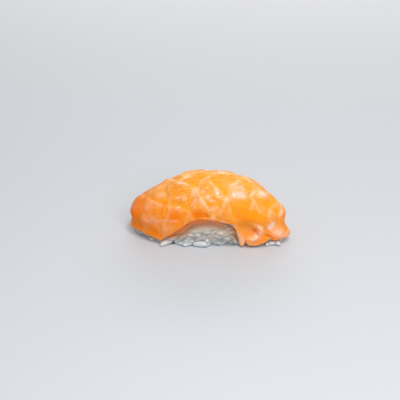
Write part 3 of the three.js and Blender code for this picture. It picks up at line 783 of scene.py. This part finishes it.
def add_wall_grains(grains, shades, form, tree, draw):
    place_at, around = hem_walk()
    count = round(around / GRAIN_SPACING)
    for row, level in enumerate(GRAIN_LEVELS):
        for i in range(count):
            turn = (i + (row % 2) / 2 + draw.uniform(*GRAIN_SHIFT)) / count
            s, w = place_at(np.array([turn]))
            if row < FOOT_ROWS and w[0] < FOOT_FRONT["w"] and s[0] < FOOT_FRONT["s"]:
                continue
            s2, w2 = place_at(np.array([turn + WALK_STEP]))
            wall_height = core_top(s, w)[0, 2]
            height = level + draw.uniform(*GRAIN_RISE)
            if row > 0 and height > wall_height + GRAIN_OVER:
                continue
            length, width = draw.uniform(*GRAIN_LENGTH), draw.uniform(*GRAIN_WIDTH)
            tilt, lean = draw.uniform(*GRAIN_TILT), draw.uniform(*GRAIN_LEAN)
            sink = draw.uniform(*GRAIN_DEPTH) + GRAIN_SINK * (level / 10) ** GRAIN_SINK_POWER
            for _ in range(WALL_TRIES):
                rise = np.array([np.clip(height / wall_height, WALL_STEP, 1)])
                centre = core_wall(s, w, rise)[0]
                higher = core_wall(s, w, np.minimum(rise + WALL_STEP, 1))[0]
                up = unit(higher - core_wall(s, w, rise - WALL_STEP)[0])
                onward = unit(core_wall(s2, w2, rise)[0] - centre)
                out = unit(np.cross(onward, up))
                along = onward * math.cos(tilt) + up * math.sin(tilt) + out * lean
                places = shaped_grain(form, centre - out * sink, along, out, length, width, draw)
                places[:, 2] += max(0, -places[:, 2].min())
                if clear_of_slice(tree, places):
                    grains.append(places)
                    shades.append(draw.uniform(0, 1))
                    break
                height -= TRY_LOWER
                sink += TRY_DEEPER
                length *= TRY_SHORTER


def make_grains(salmon_slice):
    draw = np.random.default_rng(RICE_SEED)
    form, faces = grain_form()
    tree = slice_tree(salmon_slice)
    grains, shades = [], []
    add_foot_grains(grains, shades, form, tree, draw)
    add_wall_grains(grains, shades, form, tree, draw)
    mesh = bpy.data.meshes.new("rice_grains")
    all_faces = [tuple(v + k * len(form) for v in face) for k in range(len(grains)) for face in faces]
    mesh.from_pydata((np.concatenate(grains) * MM).tolist(), [], all_faces)
    rice = bpy.data.objects.new("rice_grains", mesh)
    bpy.context.collection.objects.link(rice)
    set_mask(rice, "shade", np.repeat(shades, len(form)))
    deselect()
    rice.select_set(True)
    bpy.context.view_layer.objects.active = rice
    bpy.ops.object.shade_smooth()
    return rice


def mask_by_slice(piece, salmon_slice):
    """How near each vertex lies to the slice, for the painted shadow and glow on the rice, less beside the
    lobe.
    """
    tree = slice_tree(salmon_slice)
    away = np.array([tree.find_nearest(vertex.co)[3] for vertex in piece.data.vertices]) / MM
    x, y, _ = vertex_places(piece).T / MM
    beside_lobe = smoothstep(*LOBE_START, x) * (1 - smoothstep(*LOBE_END, x)) * (y < 0)
    near = np.exp(-((away / NEAR_REACH) ** NEAR_POWER))
    set_mask(piece, "slice_shadow_and_glow", near * (1 - LOBE_LIGHTER * beside_lobe))


# ------------------------------------------------------------- materials

SLICE_MASKS = ["low", "cut", "gold_shade", "deep", "pale_and_highlight", "hem", "painted_glint_and_wet", "smooth"]
# The flesh's patterns on the flat slab: the share of the scale that holds along it, the scale
# and the detail.
FLESH_PATTERNS = {
    "fibres": (0.16, 1250, 2),
    "fine": (0.5, 1100, 3),
    "flecks": (0.6, 1500, 2),
    "dim": (0.45, 1300, 3),
    "glint_specks": (0.6, 2000, 2),
}
PATCH_SCALE = 110
WET_SCALE = 260
FLESH = (0.91, 0.31, 0.014, 1)
# What is laid over the flesh, in this order: the linear colour, the stretch of its mask or
# pattern over which it sets in, where it has one, and its strength.
FLESH_LAYERS = {
    "patches": ((0.93, 0.385, 0.045, 1), (0.35, 0.68), 1),
    # Painted shade: the flesh deepens towards the bottom.
    "low": ((0.9, 0.24, 0.02, 1), None, 0.6),
    "light_fibres": ((0.98, 0.5, 0.09, 1), (0.48, 0.66), 0.4),
    "dark_fibres": ((0.9, 0.25, 0.01, 1), (0.46, 0.34), 0.4),
    # Painted shade: a warmer orange in the grooves of the cuts.
    "cut": ((0.93, 0.33, 0.006, 1), (0.2, 1), 0.4),
    # Painted shade: gold on the sinking side of the cuts and in the golden streaks and spots.
    "gold_shade": ((0.92, 0.38, 0.004, 1), None, 0.95),
    # Painted shade again, lighter, towards the bottom.
    "lowest_shade": ((0.9, 0.24, 0.01, 1), None, 0.3),
    "flecks": ((1, 0.58, 0.22, 1), (0.5, 0.66), 1),
    "dim": ((0.84, 0.2, 0.003, 1), (0.52, 0.36), 1),
    # Deep orange, mostly painted shade.
    "deep": ((0.89, 0.18, 0.001, 1), None, 1),
    # Pale flesh and painted highlights.
    "pale_and_highlight": ((1, 0.58, 0.4, 1), None, 1),
    "hem": ((0.98, 0.48, 0.26, 1), (0.5, 1), 0.12),
    # Painted glints: pale pink highlights.
    "painted_glint_and_wet": ((1, 0.72, 0.64, 1), None, 0.92),
}
# Ramps: two values of a mask or pattern, and what they become where that isn't 0 and 1.
FIBRES_LEFT = (0, 1, 1, 0.2)  # by the smooth mask
FLECKS_LEFT = (0, 1, 0.36, 0.12)  # by the golden and deep painted shade masks
DIM_LEFT = (0, 1, 0.3, 0.2)
PALE_BROKEN = (0.32, 0.6, 0.55, 0.95)
GLINT_SPECKS_START = (0.36, 0.54)
FLESH_ROUGHNESS = (0.3, 0.75, 0.25, 0.45)
WET_START = (0.42, 0.62)
WET_LEFT = (0.3, 1, 1, 0.1)  # by the low, golden and deep painted shade masks
WET_BROKEN = (0.35, 0.5, 0.3, 1)
WET_STRENGTH = 0.45
FIBRE_BUMP = (0.25 * MM, 0.55)  # distance and strength
FINE_BUMP = (0.3 * MM, 0.45)
FLESH_FINISH = {
    "Subsurface Weight": 0.5,
    "Subsurface Radius": (1.0, 0.3, 0.08),
    "Subsurface Scale": 3 * MM,
    "IOR": 1.4,
    "Specular IOR Level": 0.05,
    "Coat Roughness": 0.08,
    "Coat IOR": 1.5,
    "Sheen Weight": 0.12,
    "Sheen Roughness": 0.25,
    "Sheen Tint": (1, 0.85, 0.75, 1),
}

RICE_DARK = (0.52, 0.45, 0.38, 1)
RICE_LIGHT = (0.66, 0.58, 0.5, 1)
# A painted cool light: the rice's foot turns a bluish white.
RICE_FOOT_LIGHT = (0.54, 0.61, 0.67, 1)
RICE_CLOUD = (0.62, 0.58, 0.52, 1)
RICE_HEM_SHADOW = (0.43, 0.18, 0.07, 1)  # painted shadow near the slice
RICE_HEM_GLOW = (0.85, 0.22, 0.04, 1)  # painted orange glow against it
FOOT_LIGHT_BAND = (1 * MM, 4.5 * MM, 1, 0)
FOOT_LIGHT_BY_SHADE = (0, 1, 0.2, 0.85)
TINT_BAND = (2 * MM, 5.5 * MM, 0.05, 1)  # the heights over which the slice's painted shadow and glow set in
HEM_SHADOW_START = (0, 0.8)
HEM_GLOW_START = (0.75, 1)
CLOUD_SCALE = 500
CLOUD_START = (0.5, 0.8)
CLOUD_STRENGTH = 0.4
CLOUD_BUMP = (0.2 * MM, 0.3)
GLOSS_SCALE = 1500
RICE_ROUGHNESS = (0.3, 0.7, 0.3, 0.5)
RICE_FINISH = {
    "Subsurface Weight": 0.6,
    "Subsurface Radius": (1.0, 0.85, 0.7),
    "Subsurface Scale": 2.8 * MM,
    "Coat Weight": 0.3,
    "Coat Roughness": 0.2,
}


def new_material(name):
    material = bpy.data.materials.new(name)
    material.use_nodes = True
    return material, material.node_tree, material.node_tree.nodes["Principled BSDF"]


def set_sockets(node, values):
    for name, value in values.items():
        node.inputs[name].default_value = value


def attribute(tree, name):
    made = tree.nodes.new("ShaderNodeAttribute")
    made.attribute_name = name
    return made


def scaled(tree, vector, scale):
    made = tree.nodes.new("ShaderNodeMapping")
    made.inputs["Scale"].default_value = scale
    tree.links.new(vector, made.inputs["Vector"])
    return made.outputs["Vector"]


def noise(tree, vector, scale, detail=3, roughness=0.55):
    made = tree.nodes.new("ShaderNodeTexNoise")
    set_sockets(made, {"Scale": scale, "Detail": detail, "Roughness": roughness})
    tree.links.new(vector, made.inputs["Vector"])
    return made.outputs["Fac"]


def ramp(tree, value, low, high, to_low=0.0, to_high=1.0):
    made = tree.nodes.new("ShaderNodeMapRange")
    made.interpolation_type = "SMOOTHSTEP"
    set_sockets(made, {"From Min": low, "From Max": high, "To Min": to_low, "To Max": to_high})
    tree.links.new(value, made.inputs["Value"])
    return made.outputs["Result"]


def times(tree, a, b):
    made = tree.nodes.new("ShaderNodeMath")
    made.operation = "MULTIPLY"
    tree.links.new(a, made.inputs[0])
    if isinstance(b, (int, float)):
        made.inputs[1].default_value = b
    else:
        tree.links.new(b, made.inputs[1])
    return made.outputs[0]


def joined(tree, a, b):
    """The greater of two masks."""
    made = tree.nodes.new("ShaderNodeMath")
    made.operation = "MAXIMUM"
    tree.links.new(a, made.inputs[0])
    tree.links.new(b, made.inputs[1])
    return made.outputs[0]


def tinted(tree, base, colour, share):
    """Mixes a colour into base by a mask."""
    made = tree.nodes.new("ShaderNodeMix")
    made.data_type = "RGBA"
    if isinstance(base, tuple):
        made.inputs["A"].default_value = base
    else:
        tree.links.new(base, made.inputs["A"])
    made.inputs["B"].default_value = colour
    tree.links.new(share, made.inputs["Factor"])
    return made.outputs["Result"]


def bumped(tree, height, distance, strength, after=None):
    made = tree.nodes.new("ShaderNodeBump")
    set_sockets(made, {"Distance": distance, "Strength": strength})
    tree.links.new(height, made.inputs["Height"])
    if after:
        tree.links.new(after, made.inputs["Normal"])
    return made.outputs["Normal"]


def colour(red, green, blue):
    """A display colour, 0 to 255, as Blender's linear one."""
    return tuple(((c / 255) ** 2.2) for c in (red, green, blue)) + (1.0,)


def salmon_material():
    material, tree, shader = new_material("salmon_flesh")
    flat = attribute(tree, "flat").outputs["Vector"]
    masks = {name: attribute(tree, name).outputs["Fac"] for name in SLICE_MASKS}
    patterns = {
        name: noise(tree, scaled(tree, flat, (stretch, 1, 1)), scale, detail)
        for name, (stretch, scale, detail) in FLESH_PATTERNS.items()
    }
    fibres, fine = patterns["fibres"], patterns["fine"]
    rough = ramp(tree, masks["smooth"], *FIBRES_LEFT)
    vivid = joined(tree, masks["gold_shade"], masks["deep"])
    glint_specks = times(tree, masks["painted_glint_and_wet"], ramp(tree, patterns["glint_specks"], *GLINT_SPECKS_START))
    # Each layer's mask or pattern, and what else thins it out.
    shares = {
        "patches": [noise(tree, flat, PATCH_SCALE, 2)],
        "low": [masks["low"]],
        "light_fibres": [fibres, rough],
        "dark_fibres": [fibres, rough],
        "cut": [masks["cut"]],
        "gold_shade": [masks["gold_shade"]],
        "lowest_shade": [masks["low"]],
        "flecks": [patterns["flecks"], rough, ramp(tree, vivid, *FLECKS_LEFT)],
        "dim": [patterns["dim"], rough, ramp(tree, vivid, *DIM_LEFT)],
        "deep": [masks["deep"]],
        "pale_and_highlight": [masks["pale_and_highlight"], ramp(tree, fine, *PALE_BROKEN)],
        "hem": [masks["hem"]],
        "painted_glint_and_wet": [glint_specks],
    }
    base = FLESH
    for name, (layer_colour, onset, strength) in FLESH_LAYERS.items():
        share, *others = shares[name]
        if onset:
            share = ramp(tree, share, *onset)
        if strength < 1:
            share = times(tree, share, strength)
        for other in others:
            share = times(tree, share, other)
        base = tinted(tree, base, layer_colour, share)
    tree.links.new(base, shader.inputs["Base Color"])
    tree.links.new(ramp(tree, fine, *FLESH_ROUGHNESS), shader.inputs["Roughness"])
    wet = times(tree, ramp(tree, noise(tree, flat, WET_SCALE, 2), *WET_START), WET_STRENGTH)
    wet = times(tree, wet, ramp(tree, joined(tree, masks["low"], vivid), *WET_LEFT))
    wet = times(tree, joined(tree, wet, masks["painted_glint_and_wet"]), ramp(tree, fine, *WET_BROKEN))
    tree.links.new(wet, shader.inputs["Coat Weight"])
    normal = bumped(tree, times(tree, fibres, rough), *FIBRE_BUMP)
    tree.links.new(bumped(tree, fine, *FINE_BUMP, normal), shader.inputs["Normal"])
    set_sockets(shader, FLESH_FINISH)
    return material


def rice_material():
    material, tree, shader = new_material("cooked_rice")
    place = tree.nodes.new("ShaderNodeTexCoord").outputs["Object"]
    apart = tree.nodes.new("ShaderNodeSeparateXYZ")
    tree.links.new(place, apart.inputs["Vector"])
    height = apart.outputs["Z"]
    shade = attribute(tree, "shade").outputs["Fac"]
    near = attribute(tree, "slice_shadow_and_glow").outputs["Fac"]
    cloud = noise(tree, place, CLOUD_SCALE, 3)
    raised = ramp(tree, height, *TINT_BAND)
    # A painted cool light: the foot turns bluish white, by height and by each grain's shade.
    foot_light = times(tree, ramp(tree, height, *FOOT_LIGHT_BAND), ramp(tree, shade, *FOOT_LIGHT_BY_SHADE))
    base = tinted(tree, RICE_DARK, RICE_LIGHT, shade)
    base = tinted(tree, base, RICE_FOOT_LIGHT, foot_light)
    base = tinted(tree, base, RICE_CLOUD, times(tree, ramp(tree, cloud, *CLOUD_START), CLOUD_STRENGTH))
    # The slice's painted shadow, brown, and its painted orange glow right against it.
    base = tinted(tree, base, RICE_HEM_SHADOW, times(tree, ramp(tree, near, *HEM_SHADOW_START), raised))
    base = tinted(tree, base, RICE_HEM_GLOW, times(tree, ramp(tree, near, *HEM_GLOW_START), raised))
    tree.links.new(base, shader.inputs["Base Color"])
    gloss = noise(tree, place, GLOSS_SCALE, 2)
    tree.links.new(ramp(tree, gloss, *RICE_ROUGHNESS), shader.inputs["Roughness"])
    tree.links.new(bumped(tree, cloud, *CLOUD_BUMP), shader.inputs["Normal"])
    set_sockets(shader, RICE_FINISH)
    return material


# ------------------------------------------------------------- the stage

CAMERA_AZIMUTH = 6
CAMERA_ELEVATION = 27
CAMERA_AWAY = 520
CAMERA_TARGET = (0, 0, 12)
CAMERA_LENS = 106.7
CAMERA_SHIFT = (-0.025, 0.0225)
CAMERA_CLIP = (0.01, 20)  # metres
FLOOR_SIZE = 6  # metres
FLOOR_COLOUR = (200, 202, 205)
FLOOR_ROUGHNESS = 0.7
WORLD_COLOUR = (0.9, 0.95, 1, 1)
WORLD_STRENGTH = 0.53
LIGHT_TARGET = (0, 0, 10)
# Each light's name, place and size in mm, energy and tint.
LIGHTS = [
    ("key_light", (75, -160, 490), (130, 70), 0.88, (1, 1, 1)),
    ("front_light", (170, -420, 340), (300, 300), 1.45, (1, 1, 1)),
    ("rim_light", (0, 520, 220), (700, 120), 1.2, (1, 0.93, 0.9)),
]


def aimed(thing, place, target):
    thing.location = Vector(place) * MM
    thing.rotation_euler = (Vector(target) - Vector(place)).to_track_quat("-Z", "Y").to_euler()


def make_camera():
    azimuth, elevation = math.radians(CAMERA_AZIMUTH), math.radians(CAMERA_ELEVATION)
    back = Vector((
        math.sin(azimuth) * math.cos(elevation),
        -math.cos(azimuth) * math.cos(elevation),
        math.sin(elevation),
    ))
    camera = bpy.data.objects.new("camera", bpy.data.cameras.new("camera"))
    bpy.context.collection.objects.link(camera)
    camera.data.lens = CAMERA_LENS
    camera.data.shift_x, camera.data.shift_y = CAMERA_SHIFT
    camera.data.clip_start, camera.data.clip_end = CAMERA_CLIP
    aimed(camera, Vector(CAMERA_TARGET) + back * CAMERA_AWAY, CAMERA_TARGET)
    bpy.context.scene.camera = camera


def make_light(name, place, size, energy, tint):
    light = bpy.data.objects.new(name, bpy.data.lights.new(name, "AREA"))
    bpy.context.collection.objects.link(light)
    light.data.shape = "RECTANGLE"
    light.data.size, light.data.size_y = size[0] * MM, size[1] * MM
    light.data.energy = energy
    light.data.color = tint
    aimed(light, place, LIGHT_TARGET)


def make_floor():
    deselect()
    bpy.ops.mesh.primitive_plane_add(size=FLOOR_SIZE)
    floor = bpy.context.object
    floor.name = "floor"
    material, _, shader = new_material("floor_pale")
    set_sockets(shader, {"Base Color": colour(*FLOOR_COLOUR), "Roughness": FLOOR_ROUGHNESS})
    floor.data.materials.append(material)


def make_stage():
    make_floor()
    world = bpy.data.worlds.new("studio")
    world.use_nodes = True
    set_sockets(world.node_tree.nodes["Background"], {"Color": WORLD_COLOUR, "Strength": WORLD_STRENGTH})
    bpy.context.scene.world = world
    for light in LIGHTS:
        make_light(*light)
    bpy.context.scene.view_settings.view_transform = "Standard"


# ------------------------------------------------------------- the scene

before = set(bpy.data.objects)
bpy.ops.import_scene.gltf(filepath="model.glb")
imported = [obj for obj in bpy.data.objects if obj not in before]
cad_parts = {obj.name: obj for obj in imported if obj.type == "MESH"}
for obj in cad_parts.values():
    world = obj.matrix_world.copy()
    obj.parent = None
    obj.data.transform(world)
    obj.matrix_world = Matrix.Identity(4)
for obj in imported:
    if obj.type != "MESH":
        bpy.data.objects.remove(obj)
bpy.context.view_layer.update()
make_camera()
make_stage()

salmon_slice = make_slice()
salmon_slice.data.materials.append(salmon_material())
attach(salmon_slice, "root")
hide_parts("salmon")

rice_core = make_core()
rice_grains = make_grains(salmon_slice)
rice_finish = rice_material()
for rice_piece in (rice_core, rice_grains):
    mask_by_slice(rice_piece, salmon_slice)
    rice_piece.data.materials.append(rice_finish)
    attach(rice_piece, "root")
    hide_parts("rice")
